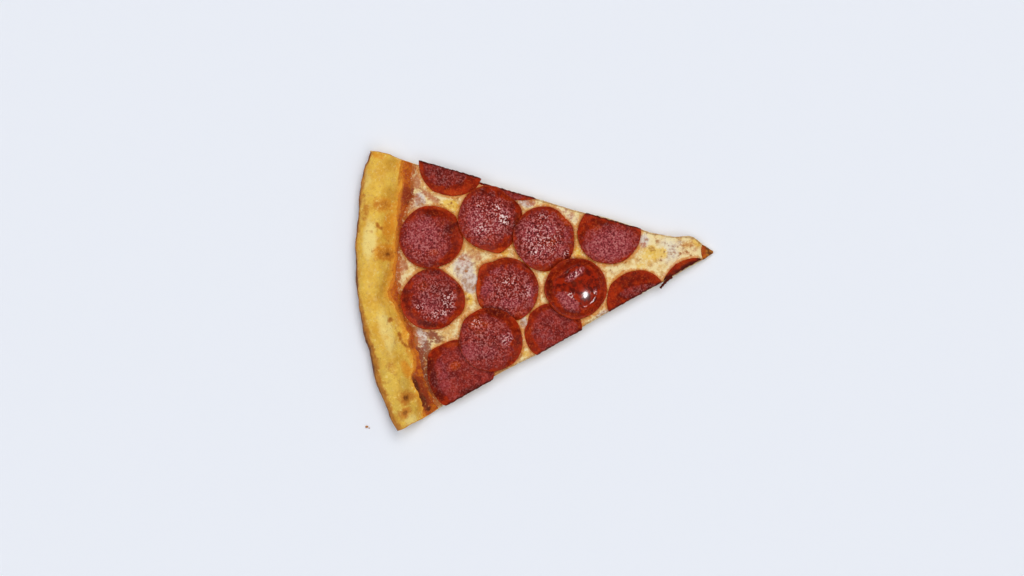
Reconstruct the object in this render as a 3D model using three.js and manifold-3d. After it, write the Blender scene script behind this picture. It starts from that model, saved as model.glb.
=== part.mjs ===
// A slice of pepperoni pizza, one eighth of a round thin-crust pizza, freed by two straight cuts.
//
// The slice lies on a level surface. +X runs from the rim along the middle line to the tip, +Z is
// up, and the origin is in the middle of the slice's box, on the surface it lies on. All sizes are
// in millimetres. Places on the round pizza are given by a radius and an angle, measured at the
// point where the two cuts would meet: the angle starts at the middle line and grows towards +Y.
//
// From below: dough with its raised rim, a film of sauce, melted cheese, and slices of pepperoni.
import * as THREE from 'three';
import { mergeVertices } from 'three/addons/utils/BufferGeometryUtils.js';
import Module from 'manifold-3d';

const { clamp, degToRad, lerp, radToDeg, smoothstep } = THREE.MathUtils;

const wasm = await Module();
wasm.setup();

// ---- Driving dimensions ------------------------------------------------------------------------

// The pizza and the two cuts.
const PIZZA_RADIUS = 227;
const HALF_ANGLE = degToRad(22.56);
const MEETING_POINT = { x: 115.7, y: 0.4 };

// Where a cut strays from its straight line: at a radius, how far out, and over what spread.
const LEFT_CUT_STRAYS = [
  { at: 2, out: -1.6, spread: 5 },
  { at: 18, out: 2.2, spread: 6 },
  { at: 45, out: -0.9, spread: 6 },
  { at: 74, out: 0.5, spread: 9 },
  { at: 97, out: -0.6, spread: 13 },
  { at: 216, out: 1.1, spread: 12 },
];
const RIGHT_CUT_STRAYS = [
  { at: 3, out: -0.3, spread: 6 },
  { at: 70, out: -0.6, spread: 14 },
  { at: 124, out: 1.4, spread: 16 },
  { at: 178, out: 1.2, spread: 8 },
  { at: 210, out: 1.1, spread: 9 },
];

// The dough: its flat floor, which thins towards the tip, and the rim that the baker leaves bare.
const TIP_RADIUS = 3.8;
const TIP_DOUGH = 3.4;
const DOUGH = 4.6;
const RIM_FOOT = 202;
const RIM_HEIGHT = 13.6;
const RIM_CREST = 0.5;
const RIM_FULLNESS = 2.6;
const RIM_WAIST = 4.6;
const RIM_WAIST_LIP = 0.6;
const RIM_UNDERCUT = 3;
const CORNER_SWING = 2.9;

// The toppings: each lies on the one below it, GAP clear of it.
const GAP = 0.3;
const SAUCE = 0.7;
const SAUCE_START = 13;
const CHEESE = 2;
const CHEESE_LIP = 0.9;
const CHEESE_START = 11.4;
const CHEESE_END = 199;
const CUT_INSET = 0.6;
const CHEESE_LOBE = { at: 17.5, out: 1.6, spread: 6 };

// Pepperoni: thin slices that the oven has cupped, so that their edges stand up.
const PEPPERONI = 1.5;
const CUP_HEIGHT = 1.7;
const CUP_STARTS = 0.66;
const DRAPE = 8;

// Where each slice of pepperoni lies: its middle, half its length and half its width in plan, how
// far its length is turned from +X, and the slices that it lies over. A slice that one of the
// cuts went through also has that cut, and how far its cut edge stands out past the straight line.
const PEPPERONI_SLICES = [
  { name: 'pepperoni_rim_left', at: [-45.3, 72.7], half: [19.6, 19.4], turn: 0, cut: 'left', past: 2.1 },
  { name: 'pepperoni_rim_middle', at: [-61.7, 29.6], half: [19.3, 18.9], turn: 0 },
  { name: 'pepperoni_rim_right', at: [-65.7, -8.6], half: [19.4, 18.8], turn: 20 },
  { name: 'pepperoni_sliver_left', at: [-1.1, 67.2], half: [30, 21], turn: -22.5, cut: 'left', past: 0 },
  { name: 'pepperoni_middle_right', at: [-18.5, -8.7], half: [19.5, 19.6], turn: 0 },
  { name: 'pepperoni_corner_right', at: [-55, -53.9], half: [19.7, 19.9], turn: 0, cut: 'right', past: 1.3 },
  { name: 'pepperoni_front_right', at: [8, -39.3], half: [19.9, 19.7], turn: 0, cut: 'right', past: 1.3 },
  {
    name: 'pepperoni_middle_left', at: [-24.7, 37.3], half: [19.6, 19.9], turn: 30,
    over: ['pepperoni_rim_left', 'pepperoni_rim_middle', 'pepperoni_sliver_left'],
  },
  { name: 'pepperoni_front_left', at: [48.5, 19.3], half: [19.9, 19.5], turn: 0, cut: 'left', past: -0.2 },
  {
    name: 'pepperoni_centre', at: [8.1, 20.6], half: [19.7, 20], turn: 0,
    over: ['pepperoni_middle_left', 'pepperoni_middle_right'],
  },
  {
    name: 'pepperoni_back_right', at: [-32.3, -38.2], half: [20.2, 19.4], turn: -55,
    over: ['pepperoni_middle_right', 'pepperoni_corner_right'],
  },
  {
    name: 'pepperoni_greasy', at: [23.6, -12.7], half: [19.4, 19.5], turn: 0,
    over: ['pepperoni_centre', 'pepperoni_front_right'],
  },
  { name: 'pepperoni_tip', at: [60.9, -25.2], half: [19.2, 19.3], turn: 0, cut: 'right', past: -0.3 },
  { name: 'pepperoni_sliver_right', at: [96.7, -22.3], half: [19.4, 19.4], turn: 0, cut: 'right', past: -0.7 },
];

// The burnt end of the last sliver, which hangs out over the cut: points on its middle line.
const TAIL_PATH = [[86, -11.2, 9.2], [82.4, -13, 9.4], [79.8, -16.4, 8.2], [77.2, -19.4, 6.2]];
const TAIL_THICKNESS = 1.4;

// ---- The plan of the slice ---------------------------------------------------------------------

// A swelling of height 1 at a place, which dies away over a spread.
function swelling(value, place, spread) {
  return Math.exp(-(((value - place) / spread) ** 2));
}

function strayAt(strays, radius) {
  return strays.reduce((sum, { at, out, spread }) => sum + out * swelling(radius, at, spread), 0);
}

// The back of the rim swings out a little in the corner of the right-hand cut.
function backRadius(angle) {
  const degrees = radToDeg(angle);
  return PIZZA_RADIUS + CORNER_SWING * (1 - smoothstep(degrees, -16, -10)) + 0.4 * Math.sin(degrees / 2.3);
}

// The foot of the rim, where the sauce stops.
function rimFoot(angle) {
  const degrees = radToDeg(angle);
  return RIM_FOOT + 5.5 * swelling(degrees, -0.6, 2.8) + 5.4 * (1 - smoothstep(degrees, -16, -13))
    + 3.6 * smoothstep(degrees, 17, 22.5) + 3.4 * (1 - smoothstep(degrees, -22.5, -19.5));
}

// The back edge of the cheese, which leaves a strip of sauce bare along the rim.
function cheeseEnd(angle) {
  const degrees = radToDeg(angle);
  return CHEESE_END + 3.4 * swelling(degrees, 1, 6) - 4 * swelling(degrees, 16.5, 2.6)
    - 1.2 * swelling(degrees, -9, 3.5) + 2.2 * (1 - smoothstep(degrees, -18, -13));
}

// Slow unevenness of stretched dough and melted cheese, from -1 to 1.
function unevenness(x, y, size) {
  return Math.sin(x / size + 1.3) * Math.cos(y / size - x / (3 * size) + 0.6);
}

function placeOf(radius, angle) {
  return {
    x: MEETING_POINT.x - radius * Math.cos(angle),
    y: MEETING_POINT.y + radius * Math.sin(angle),
  };
}

function radiusOf(x, y) {
  return Math.hypot(x - MEETING_POINT.x, y - MEETING_POINT.y);
}

// ---- Heights -----------------------------------------------------------------------------------

function floorTop(x, y) {
  const thickness = lerp(TIP_DOUGH, DOUGH, smoothstep(radiusOf(x, y), 0, 120));
  return thickness + 0.25 * unevenness(x, y, 13);
}

function sauceTop(x, y) {
  return floorTop(x, y) + GAP + SAUCE;
}

function cheeseTop(x, y) {
  return sauceTop(x, y) + GAP + CHEESE + 0.25 * unevenness(y, x, 11);
}

function rimHeight(angle) {
  const degrees = radToDeg(angle);
  return RIM_HEIGHT + 0.9 * Math.sin(degrees / 5.2 + 0.8) + 0.5 * Math.sin(degrees / 2.1);
}

// Across the rim from its foot (0) to the back (1), the top climbs to a crest and rounds over.
function doughTop(radius, angle) {
  const { x, y } = placeOf(radius, angle);
  const across = (radius - rimFoot(angle)) / (backRadius(angle) - rimFoot(angle));
  if (across < RIM_CREST) {
    return lerp(floorTop(x, y), rimHeight(angle), smoothstep(across, 0, RIM_CREST));
  }
  const fall = clamp((across - RIM_CREST) / (1 - RIM_CREST), 0, 1);
  return lerp(RIM_WAIST + RIM_WAIST_LIP, rimHeight(angle), Math.sqrt(1 - fall ** RIM_FULLNESS));
}

// The underside is flat and curls up to the waist at the very back.
function doughBottom(radius, angle) {
  const curl = clamp((radius - backRadius(angle) + RIM_UNDERCUT) / RIM_UNDERCUT, 0, 1);
  return lerp(RIM_WAIST - RIM_WAIST_LIP, 0, Math.sqrt(1 - curl ** 2));
}

// ---- From geometry to solids -------------------------------------------------------------------

// Joins the vertices that faces share, and drops the faces that shrink to nothing.
function closedGeometry(geometry) {
  geometry.deleteAttribute('normal');
  geometry.deleteAttribute('uv');
  const merged = mergeVertices(geometry, 1e-3);
  const kept = [];
  const corners = merged.index.array;
  for (let i = 0; i < corners.length; i += 3) {
    const [a, b, c] = [corners[i], corners[i + 1], corners[i + 2]];
    if (a !== b && b !== c && c !== a) kept.push(a, b, c);
  }
  merged.setIndex(kept);
  return merged;
}

function toSolid(geometry) {
  return new wasm.Manifold(new wasm.Mesh({
    numProp: 3,
    vertProperties: new Float32Array(geometry.attributes.position.array),
    triVerts: new Uint32Array(geometry.index.array),
  }));
}

function toGeometry(solid) {
  const mesh = solid.getMesh();
  const geometry = new THREE.BufferGeometry();
  geometry.setAttribute('position', new THREE.BufferAttribute(new Float32Array(mesh.vertProperties), 3));
  geometry.setIndex(Array.from(mesh.triVerts));
  return geometry;
}

function movePoints(geometry, move) {
  const points = geometry.attributes.position;
  for (let i = 0; i < points.count; i++) {
    const { x, y, z } = move(points.getX(i), points.getY(i), points.getZ(i));
    points.setXYZ(i, x, y, z);
  }
  return geometry;
}

// ---- Dough, sauce and cheese -------------------------------------------------------------------

// A block of the wedge's plan, bent from a box. The box's X runs from the back to the tip, its Y
// from the right-hand cut to the left-hand one, and its Z from the underside to the top. Its sides
// stop short of the cuts by an inset, apart from a lobe that has flowed out over the left-hand cut.
function wedgeGeometry({ rows, columns, layers, radiusAt, inset, lobe, bottom, top }) {
  const box = new THREE.BoxGeometry(1, 1, 1, rows, columns, layers);
  return closedGeometry(movePoints(box, (boxX, boxY, boxZ) => {
    const radius = radiusAt(0.5 - boxX, 2 * HALF_ANGLE * boxY);
    const rightOut = strayAt(RIGHT_CUT_STRAYS, radius) - inset;
    const leftOut = strayAt(lobe ? [...LEFT_CUT_STRAYS, lobe] : LEFT_CUT_STRAYS, radius) - inset;
    const angle = lerp(-HALF_ANGLE - rightOut / radius, HALF_ANGLE + leftOut / radius, boxY + 0.5);
    const { x, y } = placeOf(radius, angle);
    return { x, y, z: lerp(bottom(x, y, radius, angle), top(x, y, radius, angle), boxZ + 0.5) };
  }));
}

// Rows lie closer together towards the tip, where the outline turns most.
function rowRadius(start, end, share) {
  const crowding = 1.4;
  return lerp(start, end, share ** crowding);
}

function doughGeometry() {
  const floorShare = 0.52;
  const rimRun = 4;
  return wedgeGeometry({
    rows: 21,
    columns: 24,
    layers: 2,
    inset: 0,
    radiusAt: (share, angle) => {
      const floorEnd = rimFoot(angle) - rimRun;
      if (share < floorShare) return rowRadius(TIP_RADIUS, floorEnd, share / floorShare);
      const across = (share - floorShare) / (1 - floorShare);
      return lerp(floorEnd, backRadius(angle), Math.sin(across * Math.PI / 2));
    },
    bottom: (x, y, radius, angle) => doughBottom(radius, angle),
    top: (x, y, radius, angle) => doughTop(radius, angle),
  });
}

function sauceGeometry() {
  return wedgeGeometry({
    rows: 14,
    columns: 10,
    layers: 1,
    inset: CUT_INSET,
    radiusAt: (share, angle) => rowRadius(SAUCE_START, rimFoot(angle) - GAP, share),
    bottom: (x, y) => floorTop(x, y) + GAP,
    top: (x, y) => sauceTop(x, y),
  });
}

// The cheese thins to a lip along the rim and round the bare tip.
function cheeseGeometry() {
  const thinning = 9;
  return wedgeGeometry({
    rows: 26,
    columns: 14,
    layers: 1,
    inset: CUT_INSET,
    lobe: CHEESE_LOBE,
    radiusAt: (share, angle) => rowRadius(CHEESE_START, cheeseEnd(angle), share),
    bottom: (x, y) => sauceTop(x, y) + GAP,
    top: (x, y, radius, angle) => {
      const fromEdge = Math.min(cheeseEnd(angle) - radius, radius - CHEESE_START);
      const lip = sauceTop(x, y) + GAP + CHEESE_LIP;
      return lerp(lip, cheeseTop(x, y), smoothstep(fromEdge, 0, thinning));
    },
  });
}

// ---- Pepperoni ---------------------------------------------------------------------------------

function sliceNamed(name) {
  return PEPPERONI_SLICES.find((slice) => slice.name === name);
}

// How far out a point lies on a slice: 0 in its middle, 1 on its edge.
function shareOut(slice, x, y) {
  const turn = degToRad(slice.turn);
  const [dx, dy] = [x - slice.at[0], y - slice.at[1]];
  const along = dx * Math.cos(turn) + dy * Math.sin(turn);
  const across = dy * Math.cos(turn) - dx * Math.sin(turn);
  return Math.hypot(along / slice.half[0], across / slice.half[1]);
}

// 1 on a slice, falling to 0 over a distance outside its edge.
function nearness(slice, x, y, distance) {
  const radius = (slice.half[0] + slice.half[1]) / 2;
  return 1 - smoothstep((shareOut(slice, x, y) - 1) * radius, 0, distance);
}

// The surface that a slice rests on: the cheese, and the slices under it, over which it drapes.
function bedHeight(slice, x, y) {
  const cheese = cheeseTop(x, y) + GAP;
  const lifts = (slice.over ?? []).map((name) => {
    const lower = sliceNamed(name);
    const needed = bedHeight(lower, x, y) - cheese + PEPPERONI + GAP;
    return needed * nearness(lower, x, y, DRAPE);
  });
  return cheese + Math.max(0, ...lifts);
}

// The raised edge of a cupped slice, pressed flat where another slice lies over it.
function cupHeight(slice, x, y) {
  const raised = CUP_HEIGHT * smoothstep(shareOut(slice, x, y), CUP_STARTS, 1.05);
  const covers = PEPPERONI_SLICES.filter((other) => (other.over ?? []).includes(slice.name));
  return covers.reduce((height, other) => height * (1 - nearness(other, x, y, DRAPE / 2)), raised);
}

// The side of a cut that falls away: a block along the straight line of the cut.
function offcut(side, past) {
  const reach = 260;
  const turn = side === 'left' ? Math.PI - HALF_ANGLE : Math.PI + HALF_ANGLE;
  const outwards = side === 'left' ? -1 : 1;
  const block = new THREE.BoxGeometry(reach, reach, 60);
  block.translate(reach / 2, outwards * (reach / 2 + past), 0);
  block.rotateZ(turn);
  block.translate(MEETING_POINT.x, MEETING_POINT.y, 0);
  return toSolid(closedGeometry(block));
}

function pepperoniGeometry(slice) {
  const rings = [0, 0.38, 0.66, 0.86, 1];
  const spokes = 24;
  const profile = [
    ...rings.map((share) => new THREE.Vector2(share, 0)),
    ...rings.map((share) => new THREE.Vector2(share, 1)).reverse(),
  ];
  const disc = new THREE.LatheGeometry(profile, spokes);
  disc.rotateX(Math.PI / 2);
  const turn = degToRad(slice.turn);
  movePoints(disc, (across, along, up) => {
    const [dx, dy] = [across * slice.half[0], along * slice.half[1]];
    const x = slice.at[0] + dx * Math.cos(turn) - dy * Math.sin(turn);
    const y = slice.at[1] + dx * Math.sin(turn) + dy * Math.cos(turn);
    return { x, y, z: bedHeight(slice, x, y) + cupHeight(slice, x, y) + up * PEPPERONI };
  });
  return closedGeometry(disc);
}

function tailSolid() {
  const path = new THREE.CatmullRomCurve3(TAIL_PATH.map((point) => new THREE.Vector3(...point)));
  const section = new THREE.Shape();
  section.absarc(0, 0, TAIL_THICKNESS / 2, 0, 2 * Math.PI);
  const tube = new THREE.ExtrudeGeometry(section, { extrudePath: path, steps: 6, curveSegments: 3 });
  return toSolid(closedGeometry(tube));
}

function cutPepperoniGeometry(slice) {
  const cut = toSolid(pepperoniGeometry(slice)).subtract(offcut(slice.cut, slice.past));
  return toGeometry(slice.name === 'pepperoni_sliver_right' ? cut.add(tailSolid()) : cut);
}

// ---- The slice ---------------------------------------------------------------------------------

const doughFinish = { color: 0xd9b25c, roughness: 0.72, metalness: 0 };
const sauceFinish = { color: 0x9c481b, roughness: 0.45, metalness: 0 };
const cheeseFinish = { color: 0xe0c48a, roughness: 0.42, metalness: 0 };
const pepperoniFinish = { color: 0x933c2e, roughness: 0.34, metalness: 0 };

const slice = new THREE.Group();

function addPiece(name, geometry, finish) {
  const piece = new THREE.Mesh(geometry, new THREE.MeshStandardMaterial(finish));
  piece.name = name;
  slice.add(piece);
}

addPiece('dough', doughGeometry(), doughFinish);
addPiece('sauce', sauceGeometry(), sauceFinish);
addPiece('cheese', cheeseGeometry(), cheeseFinish);
for (const topping of PEPPERONI_SLICES) {
  const geometry = topping.cut ? cutPepperoniGeometry(topping) : pepperoniGeometry(topping);
  addPiece(topping.name, geometry, pepperoniFinish);
}

export default slice;
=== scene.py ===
import math

import bpy
import numpy as np
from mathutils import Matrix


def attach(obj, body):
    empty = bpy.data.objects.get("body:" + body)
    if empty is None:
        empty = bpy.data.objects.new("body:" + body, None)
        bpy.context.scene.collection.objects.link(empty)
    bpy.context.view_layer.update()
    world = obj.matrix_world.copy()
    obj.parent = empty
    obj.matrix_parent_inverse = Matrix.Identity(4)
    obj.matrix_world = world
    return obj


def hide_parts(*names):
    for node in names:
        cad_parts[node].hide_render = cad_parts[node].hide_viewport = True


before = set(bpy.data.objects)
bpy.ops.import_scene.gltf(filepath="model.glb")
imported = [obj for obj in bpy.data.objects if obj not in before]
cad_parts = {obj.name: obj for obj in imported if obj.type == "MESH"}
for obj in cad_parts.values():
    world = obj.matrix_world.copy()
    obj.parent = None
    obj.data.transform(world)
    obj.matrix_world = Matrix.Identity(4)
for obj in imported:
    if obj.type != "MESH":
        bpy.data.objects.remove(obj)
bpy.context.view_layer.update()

# ---- Dough -------------------------------------------------------------------------------------
# An eighth of a round of stretched yeast dough, baked on a hot floor and freed by two cuts. Its bare
# rim has risen into a golden roll with a browned back, and the cuts show the open crumb inside.
# Sizes are millimetres. Places are a radius and an angle at the point where the two cuts meet.
PIZZA_RADIUS = 227
HALF_ANGLE = math.radians(22.56)
MEETING_POINT = (115.7, 0.4)

# Where a cut strays from its straight line: a radius, how far out, and over what spread.
LEFT_CUT = ((2, -1.6, 5), (20, 2.2, 8), (45, -0.9, 6), (74, 0.5, 9), (97, -0.6, 13), (216, 1.1, 12))
RIGHT_CUT = ((3, -0.3, 6), (70, -0.6, 14), (124, 1.4, 16), (178, 1.2, 8), (210, 1.1, 9))
OUTWARDS = {
    "left": (math.sin(HALF_ANGLE), math.cos(HALF_ANGLE)),
    "right": (math.sin(HALF_ANGLE), -math.cos(HALF_ANGLE)),
}

# The floor, which thins towards the tip, and the rim. Its back swells at some angles, in degrees.
TIP_RADIUS = 3.8
TIP_DOUGH = 3.4
DOUGH = 4.6
RIM_FOOT = 202
RIM_HEIGHT = 13.6
RIM_CREST = 0.5
RIM_FULLNESS = 2.6
RIM_WAIST = 4.6
RIM_WAIST_LIP = 0.6
RIM_UNDERCUT = 3
CORNER_SWING = 2.9
BACK_SWELLS = ((-2.2, 1.1, 2.6), (-7, 1.3, 2), (-20, 1.2, 1.6))
UNEVEN = 0.25


def smooth(value, low, high):
    """0 up to low, 1 from high on, and a soft S between the two; low may be the larger one."""
    part = np.clip((value - low) / (high - low), 0, 1)
    return part * part * (3 - 2 * part)


def mixed(low, high, share):
    """The value at a share of the way from low to high."""
    return low + (high - low) * share


def swelling(value, place, spread):
    """A bump of height 1 at a place, which dies away over a spread."""
    return np.exp(-(((value - place) / spread) ** 2))


def lumps(points, size, seed):
    """Smooth random lumps of about a size, from -1 to 1, the same on each run."""
    directions = np.random.default_rng(seed).normal(size=(32, 32, 32, 3))
    directions /= np.linalg.norm(directions, axis=-1, keepdims=True)
    cells = points / size
    corner = np.floor(cells).astype(int)
    part = cells - corner
    ease = part**3 * (part * (part * 6 - 15) + 10)
    total = np.zeros(len(points))
    for step in np.ndindex(2, 2, 2):
        i, j, k = ((corner + step) % 32).T
        weight = np.prod(np.where(step, ease, 1 - ease), axis=1)
        total += weight * np.sum(directions[i, j, k] * (part - step), axis=1)
    return 1.6 * total


def relief(points, seed, *layers):
    """Bumps and hollows added up from layers of (size, depth)."""
    return sum(depth * lumps(points, size, seed + i) for i, (size, depth) in enumerate(layers))


def stray(strays, place):
    """How far outwards an edge strays at a place: rows of place, distance and spread."""
    return sum(out * swelling(place, at, spread) for at, out, spread in strays)


def back_radius(angle):
    """The radius of the rim's back, which swings out at the right-hand corner."""
    degrees = np.degrees(angle)
    corner = CORNER_SWING * (1 - smooth(degrees, -16, -10))
    return PIZZA_RADIUS + corner + stray(BACK_SWELLS, degrees) + 0.4 * np.sin(degrees / 2.3)


def rim_foot(angle):
    """The radius where the rim rises from the floor."""
    degrees = np.degrees(angle)
    right = 5.4 * (1 - smooth(degrees, -16, -13)) + 3.4 * (1 - smooth(degrees, -22.5, -19.5))
    return RIM_FOOT + 5.5 * swelling(degrees, -0.6, 2.8) + 3.6 * smooth(degrees, 17, 22.5) + right


def unevenness(x, y, size):
    """Slow unevenness of stretched dough and melted cheese."""
    return np.sin(x / size + 1.3) * np.cos(y / size - x / (3 * size) + 0.6)


def radius_of(x, y):
    return np.hypot(x - MEETING_POINT[0], y - MEETING_POINT[1])


def angle_of(x, y):
    return np.arctan2(y - MEETING_POINT[1], MEETING_POINT[0] - x)


def floor_top(x, y):
    thickness = mixed(TIP_DOUGH, DOUGH, smooth(radius_of(x, y), 0, 120))
    return thickness + UNEVEN * unevenness(x, y, 13)


def dough_top(x, y):
    """The top of the dough: the flat floor, then the rim, which climbs to a crest and rounds over."""
    radius = radius_of(x, y)
    angle = angle_of(x, y)
    degrees = np.degrees(angle)
    crest = RIM_HEIGHT + 0.9 * np.sin(degrees / 5.2 + 0.8) + 0.5 * np.sin(degrees / 2.1)
    across = (radius - rim_foot(angle)) / (back_radius(angle) - rim_foot(angle))
    climb = mixed(floor_top(x, y), crest, smooth(across, 0, RIM_CREST))
    fall = np.clip((across - RIM_CREST) / (1 - RIM_CREST), 0, 1)
    far = mixed(RIM_WAIST + RIM_WAIST_LIP, crest, np.sqrt(1 - fall**RIM_FULLNESS))
    return np.where(across < RIM_CREST, climb, far)


def dough_bottom(x, y):
    """The flat underside, which curls up at the very back."""
    inside = radius_of(x, y) - back_radius(angle_of(x, y)) + RIM_UNDERCUT
    curl = np.clip(inside / RIM_UNDERCUT, 0, 1)
    return mixed(RIM_WAIST - RIM_WAIST_LIP, 0, np.sqrt(1 - curl**2))


def block_skin(rows, columns, layers):
    """The outside of a block of cells, to be bent to shape.

    Gives each corner's share of the way from tip to back, right to left and bottom to top, the
    quads, and for each quad the side it is on: tip, back, right, left, underside or top (0 to 5).
    """
    counts = (rows, columns, layers)
    outside = np.zeros((rows + 1, columns + 1, layers + 1), bool)
    for axis in range(3):
        np.moveaxis(outside, axis, 0)[[0, -1]] = True
    number = np.cumsum(outside).reshape(outside.shape) - 1
    quads = []
    sides = []
    for axis in range(3):
        for end in (0, -1):
            face = np.moveaxis(number, axis, 0)[end]
            corners = np.stack([face[:-1, :-1], face[1:, :-1], face[1:, 1:], face[:-1, 1:]], axis=-1)
            corners = corners.reshape(-1, 4)
            outwards = (end == 0) != (axis == 1)
            quads.append(corners if outwards else corners[:, ::-1])
            sides.append(np.full(len(corners), 2 * axis - end))
    return np.argwhere(outside) / counts, np.concatenate(quads), np.concatenate(sides)


def wedge_plan(radius, across, inset, left_cut=LEFT_CUT):
    """Places at a radius, from the right-hand cut (0) to the left-hand one (1)."""
    right = -HALF_ANGLE - (stray(RIGHT_CUT, radius) - inset) / radius
    left = HALF_ANGLE + (stray(left_cut, radius) - inset) / radius
    angle = mixed(right, left, across)
    return MEETING_POINT[0] - radius * np.cos(angle), MEETING_POINT[1] + radius * np.sin(angle)


def from_cut(radius, across):
    """How far along the arc a place lies from the nearer cut."""
    return np.minimum(across, 1 - across) * 2 * HALF_ANGLE * radius


def normals_of(points, quads):
    """The outward direction at each point of a mesh of quads."""
    a, b, c, d = (points[quads[:, i]] for i in range(4))
    facing = np.cross(c - a, d - b)
    normals = np.zeros_like(points)
    for i in range(4):
        np.add.at(normals, quads[:, i], facing)
    return normals / np.maximum(np.linalg.norm(normals, axis=1, keepdims=True), 1e-9)


def spots_at(x, y, spots):
    """How strongly soft oval spots mark each place.

    A spot is its middle's x and y, half its length, half its width, its turn and its strength.
    """
    mark = np.zeros(len(x))
    for at_x, at_y, half_length, half_width, turn, strength in spots:
        cosine = math.cos(math.radians(turn))
        sine = math.sin(math.radians(turn))
        along = ((x - at_x) * cosine + (y - at_y) * sine) / half_length
        across = ((y - at_y) * cosine - (x - at_x) * sine) / half_width
        mark = np.maximum(mark, strength * smooth(np.hypot(along, across), 1.3, 0.4))
    return mark


def mark_piece(piece, **marks):
    """Stores what the finish needs to know at each point, such as how toasted it is."""
    for name, values in marks.items():
        mark = piece.data.attributes.new(name, "FLOAT", "POINT")
        mark.data.foreach_set("value", np.asarray(values, np.float32))


def add_piece(name, points, faces, finishes, which=None, sharp=55):
    """Makes a piece from points in millimetres, in the frame's own place."""
    mesh = bpy.data.meshes.new(name)
    mesh.from_pydata((points / 1000).tolist(), [], faces)
    for finish in finishes:
        mesh.materials.append(finish)
    if which is not None:
        mesh.polygons.foreach_set("material_index", np.asarray(which, np.int32))
    mesh.shade_smooth()
    mesh.set_sharp_from_angle(angle=math.radians(sharp))
    piece = bpy.data.objects.new(name, mesh)
    bpy.context.scene.collection.objects.link(piece)
    return piece


class Shade:
    """A socket of a finish. Sums of shades add Math nodes, so that a mask reads as plain maths."""

    def __init__(self, tree, socket=None):
        self.tree = tree
        self.socket = socket

    def fill(self, node, values):
        for name, value in values.items():
            if isinstance(value, Shade):
                self.tree.links.new(value.socket, node.inputs[name])
            else:
                node.inputs[name].default_value = value

    def node(self, kind, settings, values, output=0):
        """Adds a node: its settings first, then the values or links of its sockets."""
        node = self.tree.nodes.new(kind)
        for name, setting in settings.items():
            setattr(node, name, setting)
        self.fill(node, values)
        return Shade(self.tree, node.outputs[output])

    def sum(self, operation, *values):
        return self.node("ShaderNodeMath", {"operation": operation}, dict(enumerate(values)))

    def __add__(self, other):
        return self.sum("ADD", self, other)

    def __sub__(self, other):
        return self.sum("SUBTRACT", self, other)

    def __rsub__(self, other):
        return self.sum("SUBTRACT", other, self)

    def __mul__(self, other):
        return self.sum("MULTIPLY", self, other)

    __radd__ = __add__
    __rmul__ = __mul__

    def step(self, low, high):
        """The same soft S as smooth, as a node."""
        values = {"Value": self, "From Min": low, "From Max": high}
        return self.node("ShaderNodeMapRange", {"interpolation_type": "SMOOTHSTEP"}, values)

    def mark(self, name):
        return self.node("ShaderNodeAttribute", {"attribute_name": name}, {}, 2)

    def mottle(self, size, seed, detail=2, uneven=0.5):
        """Random light and dark, about 0.3 to 0.7, in patches of a size in millimetres."""
        place = self.node("ShaderNodeTexCoord", {}, {}, 3)
        values = {"Vector": place, "W": seed, "Scale": 1000 / size, "Detail": detail, "Roughness": uneven}
        return self.node("ShaderNodeTexNoise", {"noise_dimensions": "4D"}, values)

    def paint(self, paint, *coats):
        """A paint with coats laid over it in turn, each a paint and the mask that says how far."""
        for over, mask in coats:
            values = {0: mask, 6: colour(paint), 7: colour(over)}
            paint = self.node("ShaderNodeMix", {"data_type": "RGBA"}, values, 2)
        return paint

    def bump(self, height, depth):
        """Small relief of a depth in millimetres for a height that runs from 0 to 1."""
        return self.node("ShaderNodeBump", {}, {"Strength": 1.0, "Distance": depth / 1000, "Height": height})


def colour(paint):
    """A paint's red, green and blue as seen on a screen, from 0 to 255; a mixed paint is kept."""
    if isinstance(paint, Shade):
        return paint
    parts = [c / 255 for c in paint]
    return (*(p / 12.92 if p <= 0.04045 else ((p + 0.055) / 1.055) ** 2.4 for p in parts), 1)


def new_finish(name):
    material = bpy.data.materials.new(name)
    material.use_nodes = True
    return material, Shade(material.node_tree)


def surface(finish, **values):
    """Sets the finish's shader; an underscore stands for the space in a socket's name."""
    shader = finish.tree.nodes["Principled BSDF"]
    finish.fill(shader, {name.replace("_", " "): value for name, value in values.items()})


# The rim's baked skin: golden, paler where it stayed soft, orange beside the sauce, and brown at
# the back, round blisters and in the curled underside. Painted shade darkens it too: down the back
# wall, along the cuts, in one pit, and olive towards the right-hand corner.
crust, s = new_finish("baked_crust")
clouds = s.mottle(10, 1, 4, 0.6)
soft = s.mottle(4, 10, 4, 0.65)
fine = s.mottle(1.9, 2, 4, 0.7)
pores = s.mottle(0.9, 3, 3, 0.6)
rough_edge = fine * 0.9 + soft * 0.9 - 0.9
scorch = s.mark("browned") + rough_edge * 1.1
tint = s.paint(
    (242, 196, 78),
    ((226, 168, 54), clouds.step(0.4, 0.62)),
    ((232, 182, 88), soft.step(0.5, 0.66) * 0.7),
    ((248, 220, 132), (s.mark("pale") + rough_edge * 1.5).step(0.1, 0.95) * 0.9),
    # Painted shade: darker and olive towards the rim's right-hand corner.
    ((202, 174, 78), (s.mark("olive") + rough_edge * 1.2).step(0.0, 1.2) * 0.6),
    ((232, 152, 38), (s.mark("toasted") + rough_edge * 1.5).step(0.1, 1.0) * 0.95),
    ((186, 124, 44), fine.step(0.54, 0.7) * 0.45),
    ((250, 226, 144), fine.step(0.46, 0.32) * 0.5),
    ((190, 128, 50), pores.step(0.56, 0.7) * 0.35),
    # Brown from browning and from painted shade: the foot of the back wall, the cuts and one pit.
    ((194, 116, 34), scorch.step(0.05, 0.7) * 0.9),
    ((112, 58, 14), scorch.step(0.6, 1.25)),
)
surface(
    s,
    Base_Color=tint,
    Roughness=0.5 + 0.3 * fine,
    Normal=s.bump(pores * 0.5 + fine + soft, 0.6),
    Coat_Weight=0.04,
    Coat_Roughness=0.35,
    Specular_IOR_Level=0.15,
)

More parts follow.
